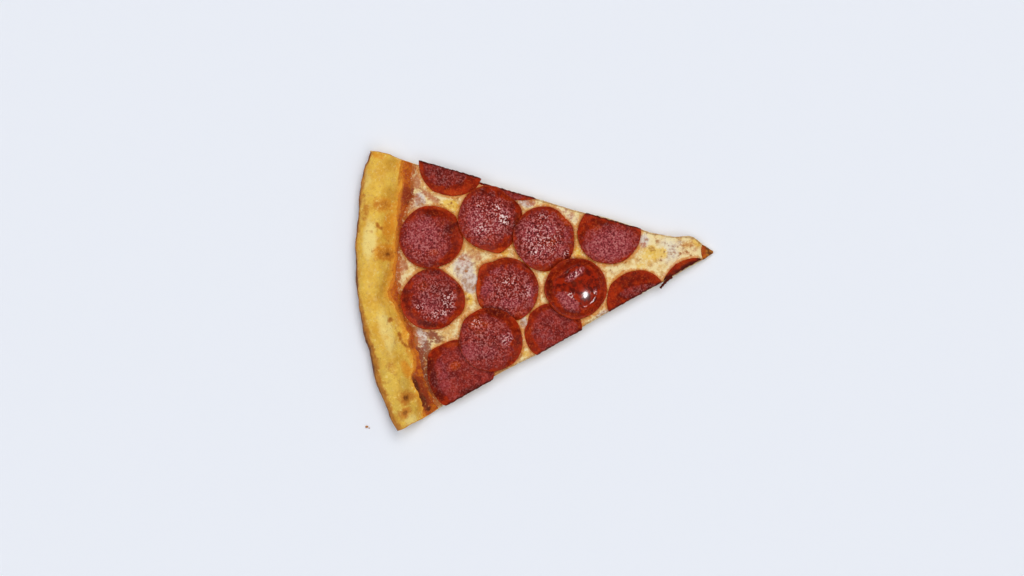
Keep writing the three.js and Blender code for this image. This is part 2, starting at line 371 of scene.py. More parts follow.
# The crumb that the cuts show: pale and full of holes, between a brown base and the top's skin.
crumb, s = new_finish("open_crumb")
holes = s.mottle(1.7, 4, 3, 0.6)
fine = s.mottle(0.5, 5, 2)
tint = s.paint(
    (253, 228, 178),
    ((244, 208, 146), s.mottle(5, 6).step(0.35, 0.65)),
    # Painted shade: darker in the holes and in the bubbles that the cuts laid open.
    ((228, 182, 116), (holes + s.mark("hollow") * 0.25).step(0.56, 0.84) * 0.85),
    ((226, 172, 76), (s.mark("from_top") + fine - 0.5).step(1.1, 0.1) * 0.9),
    ((158, 98, 44), (s.mark("from_base") + fine * 1.4 - 0.7).step(0.9, 0.1)),
)
surface(
    s,
    Base_Color=tint,
    Roughness=0.85,
    Normal=s.bump(1 - holes.step(0.5, 0.72) + fine * 0.3, 0.5),
    Specular_IOR_Level=0.2,
)

# The underside: browned in leopard spots where it lay on the hot floor, and dusted with flour.
base, s = new_finish("baked_base")
spots = s.mottle(7, 7, 3, 0.6)
fine = s.mottle(1, 8, 3)
tint = s.paint(
    (206, 154, 86),
    ((140, 84, 40), spots.step(0.48, 0.66)),
    ((84, 48, 28), spots.step(0.62, 0.74)),
    ((226, 208, 176), s.mottle(3, 9, 4, 0.7).step(0.6, 0.75) * 0.6),
)
surface(s, Base_Color=tint, Roughness=0.8, Normal=s.bump(fine, 0.25), Specular_IOR_Level=0.25)

# The wedge itself: rows lie closest where the tip and the rim's back turn most.
FLOOR_ROWS = 124
RIM_ROWS = 66
DOUGH_COLUMNS = 190
DOUGH_LAYERS = 14
RIM_RUN = 4
CROWDING = 1.4
places, quads, sides = block_skin(FLOOR_ROWS + RIM_ROWS, DOUGH_COLUMNS, DOUGH_LAYERS)
share, across, height = places.T
floor_share = FLOOR_ROWS / (FLOOR_ROWS + RIM_ROWS)
plan_angle = (2 * across - 1) * HALF_ANGLE
floor_end = rim_foot(plan_angle) - RIM_RUN
floor_radius = mixed(TIP_RADIUS, floor_end, (share / floor_share) ** CROWDING)
turning = np.sin(np.clip((share - floor_share) / (1 - floor_share), 0, 1) * math.pi / 2)
rim_radius = mixed(floor_end, back_radius(plan_angle), turning)
radius = np.where(share < floor_share, floor_radius, rim_radius)
x, y = wedge_plan(radius, across, 0)
bottom = dough_bottom(x, y)
top = dough_top(x, y)
dough_points = np.stack([x, y, mixed(bottom, top, height)], axis=1)
degrees = np.degrees(angle_of(x, y))
from_foot = radius - rim_foot(angle_of(x, y))
from_back = back_radius(angle_of(x, y)) - radius

# Pits in the rim: x, y, size, depth.
PITS = (
    (-93, 40, 1.1, 1.0), (-90.7, 22.2, 1.8, 0.45), (-93, -18.7, 1.1, 0.6), (-88.6, -28.6, 1.2, 0.5),
    (-88.6, -31, 1, 0.6), (-87.8, -33.1, 1, 0.6), (-86.2, -35.2, 1, 0.5), (-83.9, -36.6, 1, 0.4),
    (-88.8, -67.9, 2.2, 0.6), (-90.5, -77.1, 1.6, 0.5), (-95.3, -48.4, 2.4, 0.3),
    (-100.6, 60, 1.4, 0.3),
)
bare = smooth(from_foot, -3, 4) + smooth(radius, 13, 11)
puff = relief(dough_points, 10, (16, 0.8), (7, 0.45), (3.2, 0.22), (1.6, 0.09))
on_underside = (height == 0) & (from_back > RIM_UNDERCUT)
puff = puff * np.where(on_underside, 0, mixed(0.25, 1, bare))
dough_points = dough_points + normals_of(dough_points, quads) * puff[:, None]
dough_points[:, 2] += np.where(on_underside, 0.2 * np.maximum(lumps(dough_points, 9, 20), 0), 0)
for pit_x, pit_y, size, depth in PITS:
    away = np.hypot(x - pit_x, y - pit_y) / size
    dough_points[:, 2] -= np.where(height > 0.9, depth * np.exp(-(away**2)), 0)

# The cut faces: torn a little, with the bubbles of the crumb laid open. A bubble is the cut it is
# on, its radius and height on the pizza, its half length, half height and depth.
RIM_BUBBLES = 34
FLOOR_BUBBLES = 90
random = np.random.default_rng(4)
bubbles = []
for cut in (0, 1):
    for _ in range(RIM_BUBBLES):
        size = random.uniform(0.7, 2.3)
        middle = (random.uniform(203, 224), random.uniform(2, 11.5))
        bubbles.append((cut, *middle, size, 0.7 * size, 0.9 * size))
    for _ in range(FLOOR_BUBBLES):
        size = random.uniform(0.7, 2.2)
        middle = (random.uniform(12, 203), random.uniform(0.9, 3.7))
        bubbles.append((cut, *middle, size, 0.55, 0.5 + 0.25 * size))
hollow = np.zeros(len(share))
for cut, at_radius, at_height, half_length, half_height, depth in bubbles:
    away = np.hypot((radius - at_radius) / half_length, (dough_points[:, 2] - at_height) / half_height)
    hollow = np.maximum(hollow, np.where(across == cut, depth * (1 - smooth(away, 0.3, 1.1)), 0))
thickness = top - bottom
from_base = height * thickness
from_top = (1 - height) * thickness
torn = 0.3 + relief(dough_points, 30, (4, 0.3), (1.6, 0.25))
skinned = smooth(np.minimum(from_base, from_top), 0.1, 1.0)
inwards = (np.maximum(torn, 0) + hollow) * skinned
for cut, side in ((0, "right"), (1, "left")):
    dough_points[:, :2] -= np.where(across == cut, inwards, 0)[:, None] * OUTWARDS[side]
dough_points[:, 2] = np.maximum(dough_points[:, 2], 0)

# The top and the back wall have crust (0), the cuts and the tip open crumb (1), the underside the
# baked base (2), apart from its back edge, which curls up and has the rim's crust too.
which = np.choose(sides, [1, 0, 1, 1, 2, 0])
which[(sides == 4) & (from_back[quads].mean(axis=1) < RIM_UNDERCUT - 0.4)] = 0
dough = add_piece("dough_slice", dough_points, quads.tolist(), [crust, crumb, base], which)

# Where the rim is pale, toasted or browned: x, y, half length, half width, turn, strength. The two
# spots round the pit at (-93, 40) are painted shade in that pit.
PALE = (
    (-99.8, 32, 5, 14, -8, 1), (-101, 5, 6, 16, -2, 0.2), (-96, -25, 5, 18, 8, 0.7),
    (-92, -60, 4, 12, 16, 0.1), (-87, -82, 4, 5, 20, 0.8), (-97, 70, 5, 9, -17, 0.4),
)
TOASTED = (
    (-88.4, 52.6, 8, 6, -12, 0.9), (-87, 40, 4.5, 12, -11, 0.9), (-90, 23.2, 8.5, 6.4, 0, 1.2),
    (-88.6, 1, 3, 9, 0, 1), (-94, 85.5, 12, 2.4, -22, 0.9), (-75.5, 69, 3.2, 10, -18, 1),
    (-86.5, -51, 3.5, 8, 14, 0.8), (-82, -84, 9, 2.2, 24, 0.9), (-86, -30, 3, 7, 8, 0.6),
    (-90, -73, 4, 6, 18, 0.4),
)
BROWNED_AND_PIT_SHADE = (
    (-90.7, 22.2, 7, 4.6, 0, 0.5), (-90.4, 22, 2.6, 2, 0, 0.95), (-93, -18.7, 1.8, 1.9, 0, 0.85),
    (-88.9, -28.6, 1.6, 1.9, 0, 0.8), (-88.3, -31, 1.1, 1.9, 0, 0.8), (-87.5, -33.5, 1.1, 1.9, 20, 0.8),
    (-85.8, -35.4, 1.1, 1.9, 45, 0.8), (-84, -36.7, 2, 1.2, -10, 0.8), (-88.8, -67.9, 5.6, 5.6, 0, 0.6),
    (-88.6, -67.9, 2.7, 2.9, 0, 1), (-90.5, -77.1, 4.8, 3.8, 20, 0.6), (-90.3, -77.1, 2.6, 2.2, 20, 1),
    (-100.6, 50, 3, 8, -13, 0.5), (-95.3, -48.4, 3.6, 4.6, 12, 0.4), (-100.4, 68, 2.4, 9, -17, 0.5),
    (-89, 3, 2, 4, 0, 0.75), (-88.6, -4, 1.7, 3.4, 0, 0.75), (-83.2, -56.6, 1.9, 3, 15, 0.9),
    # Painted shade: the spots at (-93.6, 40.4) and (-92.2, 38.4) darken the pit at (-93, 40).
    (-100.6, 60, 1.8, 1.8, 0, 0.6), (-76.5, 71, 1.4, 8, -18, 0.6), (-93.6, 40.4, 1.3, 2.4, 20, 0.8),
    (-92.2, 38.4, 1.9, 1.2, 0, 0.6), (-90.5, 52.5, 6.5, 4.5, 0, 0.45), (-98, 37, 1.4, 1.4, 0, 0.4),
)

# The back is browned in a band below the crest, wider to the right, and further down its wall,
# where the darker brown is partly real browning and partly painted shade.
band = 3 + 4 * smooth(degrees, 4, -8) + relief(dough_points, 22, (9, 1.2), (3, 0.8))
blotches = relief(dough_points, 25, (13, 0.4), (5, 0.35), (2, 0.15))
below_crest = 0.6 + 0.6 * smooth(degrees, 0, -6) + blotches
below_crest = np.minimum(below_crest * smooth(from_back, np.maximum(band, 1.5), 0), 0.7 + 0.3 * blotches)
down_wall_brown_and_shade = (0.6 + 0.4 * blotches) * smooth(dough_points[:, 2], 10.5, 7) * smooth(from_back, 3, 1)
back_brown_and_shade = np.minimum(below_crest + down_wall_brown_and_shade, 1.08 + 0.4 * blotches)
beside_sauce = 0.75 * smooth(from_foot, 6, 0)
bare_tip = smooth(radius, 13, 12)
# Painted shade: a thin dark line on the dough's top along both cuts.
cut_edge_shade = 0.55 * smooth(from_cut(radius, across), 0.9, 0.1) * (height == 1)
scorched_tip = bare_tip * (1.0 + 0.6 * lumps(dough_points, 1.8, 27))
mark_piece(
    dough,
    pale=spots_at(x, y, PALE),
    toasted=np.maximum.reduce([spots_at(x, y, TOASTED), beside_sauce, bare_tip]),
    # Browning, with painted shade down the back wall, along the cuts and in one pit.
    browned=np.maximum.reduce([spots_at(x, y, BROWNED_AND_PIT_SHADE), back_brown_and_shade, scorched_tip, cut_edge_shade]),
    # Painted shade, growing towards the rim's right-hand corner.
    olive=smooth(degrees, -5, -13) * (0.6 + 0.5 * lumps(dough_points, 9, 28)),
    # The opened bubbles, which the crumb's finish also darkens as painted shade.
    hollow=hollow,
    from_base=from_base,
    from_top=from_top,
)
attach(dough, "root")
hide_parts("dough")

# ---- Sauce -------------------------------------------------------------------------------------
# A thin coat of cooked tomato sauce, spread on the dough before baking. It shows as a line at the
# cuts and as a ragged, partly charred strip along the rim, where it climbs a little up the crust.
SAUCE_START = 8.5
SAUCE_FILM = 1.0
SAUCE_INSET = 0.45
SAUCE_CELLS = (150, 150, 3)
SUNK = 0.15


def level(x, y):
    """Places on the level, for lumps that are the same at each height."""
    return np.stack([x, y, 0 * x], axis=1)


sauce_finish, s = new_finish("cooked_sauce")
fine = s.mottle(1.2, 11, 4, 0.7)
clots = s.mottle(3.6, 12, 4, 0.65)
rough_edge = fine * 1.2 + clots * 0.9 - 1.05
tint = s.paint(
    (208, 112, 22),
    ((164, 58, 12), (clots + fine - 0.5).step(0.36, 0.62)),
    ((214, 130, 34), (s.mark("thin") + rough_edge * 1.3).step(0.1, 0.9)),
    ((140, 46, 18), (s.mark("dark_red") + rough_edge * 1.6).step(0.1, 0.9) * 0.9),
    ((74, 30, 12), (s.mark("charred") + rough_edge * 1.2).step(0.2, 1.0) * 0.9),
    ((216, 140, 78), fine.step(0.53, 0.68) * 0.6),
    ((96, 34, 10), fine.step(0.46, 0.34) * 0.65),
)
surface(
    s,
    Base_Color=tint,
    Roughness=0.3 + 0.3 * fine,
    Normal=s.bump(fine + clots, 0.8),
    Coat_Weight=0.05,
    Coat_Roughness=0.2,
    Specular_IOR_Level=0.08,
)

places, quads, _ = block_skin(*SAUCE_CELLS)
share, across, height = places.T
plan_angle = (2 * across - 1) * HALF_ANGLE
along_rim = level(RIM_FOOT * plan_angle, 0 * share)
sauce_end = rim_foot(plan_angle) + 0.9 + relief(along_rim, 40, (9, 1.3), (3.5, 0.9), (1.6, 0.4))
radius = mixed(SAUCE_START, sauce_end, share)
x, y = wedge_plan(radius, across, SAUCE_INSET)
film = mixed(0.12, SAUCE_FILM, smooth(sauce_end - radius, 0, 5))
film = film + relief(level(x, y), 44, (5, 0.1), (2, 0.12), (1.1, 0.06))
ground = dough_top(x, y)
z = mixed(ground - SUNK, ground + np.maximum(film, 0.05), height)
sauce_points = np.stack([x, y, z], axis=1)
sauce = add_piece("sauce_coat", sauce_points, quads.tolist(), [sauce_finish])

# Where the strip along the rim has darkened or charred.
DARK_RED = (
    (-74, 56.8, 4, 6.5, -10, 1), (-79.9, -66.1, 5.2, 13, 14, 1.5), (-80.7, 42.5, 1.6, 5.5, -10, 0.5),
    (-82.3, -35.8, 2, 3.5, 10, 0.8), (-82.5, -55.5, 2.4, 4, 12, 0.7), (-70, -72.5, 2.6, 5, 20, 1.1),
)
CHARRED = (
    (-83.5, -57, 1.4, 2, 15, 1), (-76.4, -76.7, 2.2, 1.8, 0, 1), (-80.9, -62, 1.6, 3.4, 15, 0.7),
    (-78, -70, 1.4, 2.4, 18, 0.7), (-73.6, 52.6, 1, 1.4, 0, 0.8), (-71, 61, 0.8, 1.2, 0, 0.7),
    (-68.5, -79.4, 2, 1.2, 20, 0.7), (-86, 1.8, 0.8, 1.8, 0, 0.6), (-82.2, -60.5, 1.8, 7, 14, 1),
    (-79, -71, 3, 6, 16, 0.8),
)
mark_piece(
    sauce,
    thin=smooth(sauce_end - radius, 3.2, 0.4),
    dark_red=spots_at(x, y, DARK_RED),
    charred=spots_at(x, y, CHARRED),
)
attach(sauce, "root")
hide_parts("sauce")

# ---- Cheese ------------------------------------------------------------------------------------
# Grated mozzarella that has melted into one sheet: cream and faintly lumpy, white where the curd
# stayed thick, golden and oily where it is thin, with a few toasted freckles. It stops short of
# the rim and of the tip, and one lobe has flowed out over the left-hand cut.
SAUCE = 0.7
GAP = 0.3
CHEESE = 2
CHEESE_START = 11.4
CHEESE_END = 199
CHEESE_INSET = 0.35
CHEESE_LOBE = (18.5, 1.6, 7)
CHEESE_CELLS = (210, 150, 4)


def sauce_top(x, y):
    return floor_top(x, y) + GAP + SAUCE


def cheese_top(x, y):
    return sauce_top(x, y) + GAP + CHEESE + UNEVEN * unevenness(y, x, 11)


def cheese_end(angle):
    """The radius where the cheese stops short of the rim."""
    degrees = np.degrees(angle)
    hollow = 4 * swelling(degrees, 16.5, 2.6) + 1.2 * swelling(degrees, -9, 3.5)
    return CHEESE_END + 3.4 * swelling(degrees, 1, 6) - hollow + 2.2 * (1 - smooth(degrees, -18, -13))


# The slices of sausage lie on the cheese, which has crept up round their edges, so they are placed
# here. A slice has its middle, its half length and half width, its turn, the cut that parted it and
# how far past the straight line it reaches, the slices it lies over, its bowl's offset and half
# sizes, how much it has cupped, and where its outline bulges: an angle, a height and a spread.
SLICES = {
    "rim_left": dict(at=(-44.1, 73.8), half=(20.5, 20.3), cut="left", past=2.8, bowl=(-3, -3.4, 15, 10.8),
        cup=0.3, bulges=((-55, 1.9, 24),)),
    "rim_middle": dict(at=(-61.7, 29.4), half=(20.1, 19.5), bowl=(-3, -0.6, 16, 15.4)),
    "rim_right": dict(at=(-65.3, -9.0), half=(19.9, 19.2), turn=20, bowl=(0.8, 1.8, 15.4, 16.4),
        bulges=((42, -1.8, 24), (-20, 0.9, 20), (80, 0.8, 16), (-48, -1.1, 12))),
    "sliver_left": dict(at=(-3.9, 68.3), half=(30, 21), turn=-22.5, cut="left", past=0,
        bowl=(-9, -18, 14, 6), cup=0.3, bulges=((-100, 1.3, 14), (202, 1.6, 9))),
    "middle_right": dict(at=(-18.5, -8.7), half=(19.6, 19.6), bowl=(0.8, -1.6, 18.4, 16.8),
        bulges=((131, 3, 16), (95, 0.8, 14))),
    "corner_right": dict(at=(-53.2, -56), half=(21.6, 20.4), turn=20, cut="right", past=1.3,
        bowl=(1, -1, 20, 18), cup=0.25, bulges=((141, 2.2, 18), (236, 2, 16))),
    "front_right": dict(at=(6.8, -37.4), half=(18.2, 18), cut="right", past=1.3, bowl=(1, -1, 15, 15),
        cup=0.3, bulges=((154, -1.3, 14),)),
    "middle_left": dict(at=(-24.1, 36.9), half=(20, 20.2), turn=30,
        over=("rim_left", "rim_middle", "sliver_left"), bowl=(-1.6, 0.2, 18, 17.2),
        bulges=((48, -2, 20), (8, 0.8, 14), (-60, 0.8, 18), (-82, 2.2, 12))),
    "front_left": dict(at=(48.5, 19.3), half=(19.9, 19.5), cut="left", past=-0.2,
        bowl=(-0.8, -6.6, 18, 12.6)),
    "centre": dict(at=(8.0, 20.3), half=(19.5, 20.2), over=("middle_left", "middle_right"),
        bowl=(-1.2, 0.4, 18.4, 17.4), bulges=((38, -1.6, 16), (-5, -0.6, 16))),
    "back_right": dict(at=(-32.3, -38.2), half=(20.2, 19.5), turn=-55,
        over=("middle_right", "corner_right"), bowl=(-3, -1.4, 17, 17.2), bulges=((136, 1.2, 14),)),
    "greasy": dict(at=(24.2, -12.6), half=(18.8, 19.2), over=("centre", "front_right"),
        bowl=(0, 0, 15.6, 15.6), bulges=((172, 1.3, 26),)),
    "tip": dict(at=(61.2, -25.2), half=(19.4, 19.4), cut="right", past=-0.3, bowl=(4, 6, 14, 4.5), cup=0.4),
    "sliver_right": dict(at=(96.7, -22.3), half=(19.6, 19.8), cut="right", past=-0.7, bowl=(0, -30, 6, 6),
        cup=0.3),
}


def share_out(topping, x, y):
    """How far out a place lies on a slice: 0 in its middle, 1 on its edge."""
    turn = math.radians(topping.get("turn", 0))
    dx = x - topping["at"][0]
    dy = y - topping["at"][1]
    along = dx * math.cos(turn) + dy * math.sin(turn)
    across = dy * math.cos(turn) - dx * math.sin(turn)
    share = np.hypot(along / topping["half"][0], across / topping["half"][1])
    for angle, height, spread in topping.get("bulges", ()):
        off = (np.degrees(np.arctan2(dy, dx)) - angle + 180) % 360 - 180
        share = share / (1 + height * swelling(off, 0, spread) / topping["half"][0])
    return share


def beyond(topping, x, y):
    """How far outside a slice's edge a place lies, in millimetres."""
    return (share_out(topping, x, y) - 1) * sum(topping["half"]) / 2


cheese_finish, s = new_finish("melted_cheese")
fine = s.mottle(1.4, 21, 3, 0.6)
curds = s.mottle(3.4, 22, 4, 0.65)
broad = s.mottle(8, 24, 3, 0.6)
rough_edge = fine * 0.8 + curds * 1.4 - 1.1
curd = s.paint((224, 208, 198), ((184, 146, 124), (curds + broad * 0.4 - 0.2).step(0.42, 0.6)))
tint = s.paint(
    (246, 223, 164),
    ((226, 178, 102), (curds + broad - 0.5).step(0.4, 0.62)),
    ((240, 228, 198), (s.mark("milky") + rough_edge).step(0.0, 1.0) * 0.8),
    (curd, (s.mark("white") + rough_edge * 1.3).step(0.0, 0.8) * 0.95),
    ((242, 194, 62), (s.mark("golden") + rough_edge * 1.3).step(0.1, 0.9) * 0.8),
    ((192, 112, 78), (s.mark("pink") + rough_edge * 1.3).step(0.1, 0.9) * 0.8),
    ((220, 130, 40), (s.mark("oiled") + rough_edge * 1.3).step(0.15, 0.95) * 0.75),
    ((184, 92, 28), (s.mark("thin") + rough_edge * 1.5).step(0.25, 0.95) * 0.9),
    ((136, 58, 38), (s.mark("stained") + rough_edge * 1.6).step(0.1, 0.9) * 0.85),
    # Painted shade: a darker line along the cuts.
    ((168, 122, 70), (s.mark("trimmed") + rough_edge).step(0.2, 1.0) * 0.75),
    ((170, 102, 40), (s.mark("freckled") + rough_edge * 0.9).step(0.2, 0.9) * 0.9),
    ((180, 128, 62), curds.step(0.56, 0.7) * 0.4),
    ((168, 118, 62), fine.step(0.55, 0.7) * 0.3),
    ((253, 242, 212), fine.step(0.45, 0.32) * 0.35),
)
surface(
    s,
    Base_Color=tint,
    Roughness=0.3 + 0.3 * fine,
    Normal=s.bump(fine * 0.6 + curds * 1.4, 0.8),
    Coat_Weight=0.08,
    Coat_Roughness=0.15,
    Specular_IOR_Level=0.15,
)

places, quads, _ = block_skin(*CHEESE_CELLS)
share, across, height = places.T
plan_angle = (2 * across - 1) * HALF_ANGLE
along_rim = level(CHEESE_END * plan_angle, 0 * share)
ragged_end = cheese_end(plan_angle) + relief(along_rim, 50, (11, 1.2), (4, 1.1), (1.8, 0.6))
radius = mixed(CHEESE_START, ragged_end, share**1.2)
edge_places = np.stack([radius, 300 * across, 4 * height], axis=1)
sag = CHEESE_INSET + relief(edge_places, 60, (7, 0.35), (2.6, 0.25)) - 0.35 * (1 - height)
x, y = wedge_plan(radius, across, sag, (*LEFT_CUT, CHEESE_LOBE))
from_rim = ragged_end - radius
from_end = np.minimum(from_rim, 1.5 * (radius - CHEESE_START) + 1.2)
gaps = [beyond(topping, x, y) for topping in SLICES.values()]
cups = [topping.get("cup", 1) for topping in SLICES.values()]
crept = [(0.5 + 0.65 * cup) * swelling(gap, 0.6, 1.5) for cup, gap in zip(cups, gaps)]
nearest, second = np.sort(gaps, axis=0)[:2]
open_cheese = smooth(nearest, -3, -0.5)
sheet = relief(level(x, y), 64, (9, 0.45), (4, 0.32), (1.9, 0.17), (1.0, 0.08))
sheet = sheet + np.max(crept, axis=0) * open_cheese
roof = mixed(sauce_top(x, y) + 0.15, cheese_top(x, y) + GAP + sheet, smooth(from_end, -0.6, 7) ** 0.7)
ceiling = np.maximum(roof, sauce_top(x, y) + 0.15)
floor = sauce_top(x, y) - SUNK
cheese_points = np.stack([x, y, mixed(floor, ceiling, height)], axis=1)
cheese = add_piece("cheese_sheet", cheese_points, quads.tolist(), [cheese_finish])

# Where the cheese is white, golden, pink or red from the sauce under it, thin, or freckled by the oven.
WHITE = (
    (-66.1, 53.5, 4.5, 5.5, 0, 0.85), (-44, 8.5, 7.5, 9, 10, 0.8), (-41, -1.5, 6, 7, 0, 1.5),
    (-1, 44, 6, 3.4, -20, 0.9), (23.8, 33, 9, 4, -45, 0.42), (69, 12, 4, 5, 0, 0.8),
    (86.5, 3, 5, 7, 10, 0.35), (92, 7, 5, 3, 0, 0.4), (41, -31.5, 11, 4, 26, 0.9),
    (-75, -30.6, 3.8, 6.4, 8, 1.2), (-74.6, -38, 2.6, 3.4, 8, 0.7), (-10.6, -30, 3, 4, 0, 1),
    (58, 9, 3, 6, 20, 0.4),
)
MILKY = (
    (84, 4, 9, 9, 0, 0.9), (88, -8, 6, 6, 0, 0.8), (24, 32, 11, 4, -30, 0.12), (-44, 6, 8, 12, 0, 0.6),
    (42, -32, 12, 4, 27, 0.7), (-68, 51, 6, 8, 0, 0.6), (70, 13, 6, 4, -20, 0.7),
    (-20, -52, 6, 3, 25, 0.5),
)
GOLDEN = (
    (-48, 47, 7.5, 5, -25, 1), (-18.5, 15, 5, 3, -45, 0.7), (-43.6, -11.4, 4, 4.5, 0, 0.8),
    (27.5, 9.5, 3.5, 5, 0, 0.8), (6, -0.5, 4, 3.4, 0, 0.7), (74, 3.6, 9, 5.5, 10, 0.8),
    (80.5, 3.2, 3, 4.4, 0, 0.9), (65, -4, 7, 3.5, 20, 0.6), (102, 6.8, 4, 3.4, 0, 0.8),
    (96, 6, 5, 3, 0, 0.6), (44, -12.5, 4, 5, 30, 0.5), (-12, -50, 2.5, 4, -20, 0.5),
)
PINK = (
    (-43.5, 13, 6, 5, 20, 0.5), (26, 33, 8, 3.4, -40, 0.42), (-66.5, 65.5, 3, 7, -12, 0.9),
    (-82, 13.8, 4, 6, -4, 1), (-77.4, -42, 3.5, 6, 8, 0.9), (1.5, 44.5, 5, 3, -20, 0.8),
    (-68.5, -31.5, 6, 4, 0, 0.6), (-59.5, 54.5, 8, 2.6, -45, 0.8), (-37, 15, 8, 4.5, -10, 0.6),
    (96, 4, 8.5, 6, 12, 0.5), (69, 9.6, 2.4, 2, 0, 0.8), (-80, -25, 2.4, 6, 8, 0.8),
)
STAINED = (
    (-77.6, -43, 3.4, 7, 10, 1.1), (-75.5, -54, 3.6, 7, 14, 1), (-72, -63, 3.6, 6, 16, 0.9),
    (-71, 57, 2, 6, -14, 0.8), (-68.5, -31, 4, 4.5, 30, 0.9), (-64.5, -34.5, 5, 3, 10, 0.8),
    (-71, -36, 3, 3.4, 0, 0.8), (-71, -55, 3, 9, 6, 1.4), (-69, -68, 2.4, 6, 12, 1.1),
    (-72.6, -41, 3.2, 7, 5, 1.5),
)
THIN = ((-72.5, -68, 3, 8, 18, 1), (-62, -75, 6, 3, 22, 1), (-83.5, 12, 2, 6, -4, 0.6))
FRECKLED = (
    (-48, 46, 7, 4.5, -25, 0.36), (-42.8, 6.1, 1.7, 1.1, -20, 1.1), (-43.6, -11.4, 1.6, 1.6, 0, 0.9),
    (73.9, 6.2, 3, 2, 0, 0.6), (91, 1.5, 1, 1.3, 0, 1), (93.5, 4.5, 1, 0.9, 0, 0.9),
    (95.2, 2, 1.3, 1.1, 0, 0.9), (97.5, -0.5, 1, 0.9, 0, 0.8), (90, 5.5, 0.9, 0.9, 0, 0.8),
    (-50.6, 45.3, 1, 0.8, 0, 0.9), (-46, 43.6, 1, 0.8, 0, 0.9), (-53.6, 49, 0.9, 0.9, 0, 0.9),
    (70.2, 8.6, 1.4, 1.1, 0, 0.45), (-69.6, -33, 2, 1.4, 30, 0.5), (78.6, -1.6, 1.2, 1, 0, 0.7),
    (69.4, 0.6, 1, 1, 0, 0.45), (62.4, -5.6, 1, 0.9, 0, 0.6), (81.5, 3.6, 1, 1, 0, 0.7),
    (-60.5, 50, 1, 0.8, 0, 0.7),
)
white = spots_at(x, y, WHITE)
thin_edge = smooth(from_rim, 4.5, 0.3)
pinched = 1.2 * smooth(second, 1.4, 0.2)
marks = dict(
    white=white,
    milky=spots_at(x, y, MILKY),
    golden=spots_at(x, y, GOLDEN),
    pink=np.maximum(spots_at(x, y, PINK), 0.6 * smooth(from_rim, 9, 2)),
    stained=spots_at(x, y, STAINED),
    thin=np.maximum.reduce([thin_edge, spots_at(x, y, THIN), pinched]),
    freckled=spots_at(x, y, FRECKLED),
    oiled=smooth(nearest, 2.8, 0.4) * open_cheese * (1 - 0.6 * np.minimum(white, 1)),
    # Painted shade along the cuts.
    trimmed=smooth(from_cut(radius, across), 1.5, 0.2),
)
mark_piece(cheese, **{name: mark * (height == 1) for name, mark in marks.items()})
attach(cheese, "root")
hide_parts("cheese")

# ---- Pepperoni ---------------------------------------------------------------------------------
# Thin slices of cured sausage: lean red meat speckled with pale fat. The oven has cupped them, so a
# smooth dark rim stands up round a mauve, greasy bowl. Upper ones drape over lower ones, seven were
# parted by the cuts, one holds a pool of grease, and the last hangs a burnt shred over its cut.
PEPPERONI = 1.5
CUP_HEIGHT = 1.7
CUP_STARTS = 0.66
DRAPE = 8
EDGE_ROUNDING = 0.5
SPOKES = 176
TOP_RINGS = 30
EDGE_RINGS = 6
UNDER_RINGS = (0.8, 0.45)
TRIALS = 800

# The grease pool: how deep it is, how soft its shore, and the meat that stands out of it.
GREASE_DEPTH = 1.2
SHORE = 0.15
ISLANDS = ((24.2, -3.9, 8.6, 3, 29, 1), (18.1, -20.2, 10, 5.6, -47, 1), (35.7, -16.1, 1.8, 2.8, -7, 0.8))

meat, s = new_finish("cupped_pepperoni")
fine = s.mottle(0.95, 31, 1, 0.5)
soft = s.mottle(3.4, 32, 4, 0.65)
ragged = soft * 1.6 + fine * 0.5 - 1.05
bowl = (s.mark("bowl") + ragged * 1.3).step(0.2, 0.8)
dry = 1 - s.mark("wet")
flecks_and_glints = s.mark("flecks_and_glints")
grease = s.paint((158, 34, 2), ((84, 10, 2), soft.step(0.4, 0.58)))
tint = s.paint(
    (172, 46, 8),
    ((130, 25, 4), soft.step(0.36, 0.62)),
    # Painted shade: a darker ring on the cup's inner slope, round the bowl.
    ((100, 15, 3), (s.mark("ring") + ragged * 0.9).step(0.2, 1.2) * 0.5),
    (s.paint((160, 50, 38), ((124, 30, 25), soft.step(0.4, 0.62))), bowl),
    ((162, 64, 69), bowl * (s.mark("mauve") + ragged).step(0.0, 1.2) * 0.85),
    (grease, s.mark("wet") * 0.95),
    # Orange: partly the meat's own colour, partly painted highlight streaks on the rims.
    ((192, 68, 12), (s.mark("orange") + ragged * 1.3).step(0.15, 1.1) * 0.85),
    # Dark patches: partly the meat's own dark maroon, partly painted shade where slices overlap.
    ((82, 12, 4), (s.mark("dark") + ragged).step(0.1, 1.1) * 0.75),
    ((206, 92, 40), fine.step(0.54, 0.7) * (1 - bowl) * dry * 0.35),
    ((74, 12, 12), fine.step(0.49, 0.35) * (0.15 + 0.25 * bowl + 0.7 * flecks_and_glints) * dry),
    # Pale pink flecks of fat, thickest in the bowls, with painted glints among them.
    ((212, 136, 130), fine.step(0.5, 0.64) * bowl * dry * (0.15 + 0.75 * flecks_and_glints)),
    # Painted highlight: near-white glints on the bowls.
    ((248, 222, 216), fine.step(0.54, 0.64) * bowl * dry * flecks_and_glints.step(0.45, 1.3)),
    ((66, 18, 12), (s.mark("scorched") + soft * 1.4 - 0.7).step(0.2, 1.0) * 0.9),
)
surface(
    s,
    Base_Color=tint,
    Roughness=0.2 + dry * 0.25 * fine,
    Normal=s.bump(fine * dry * (0.4 + bowl), 0.5),
    Coat_Weight=0.02 + 0.1 * s.mark("wet"),
    Coat_Roughness=0.025,
    Specular_IOR_Level=0.05,
)
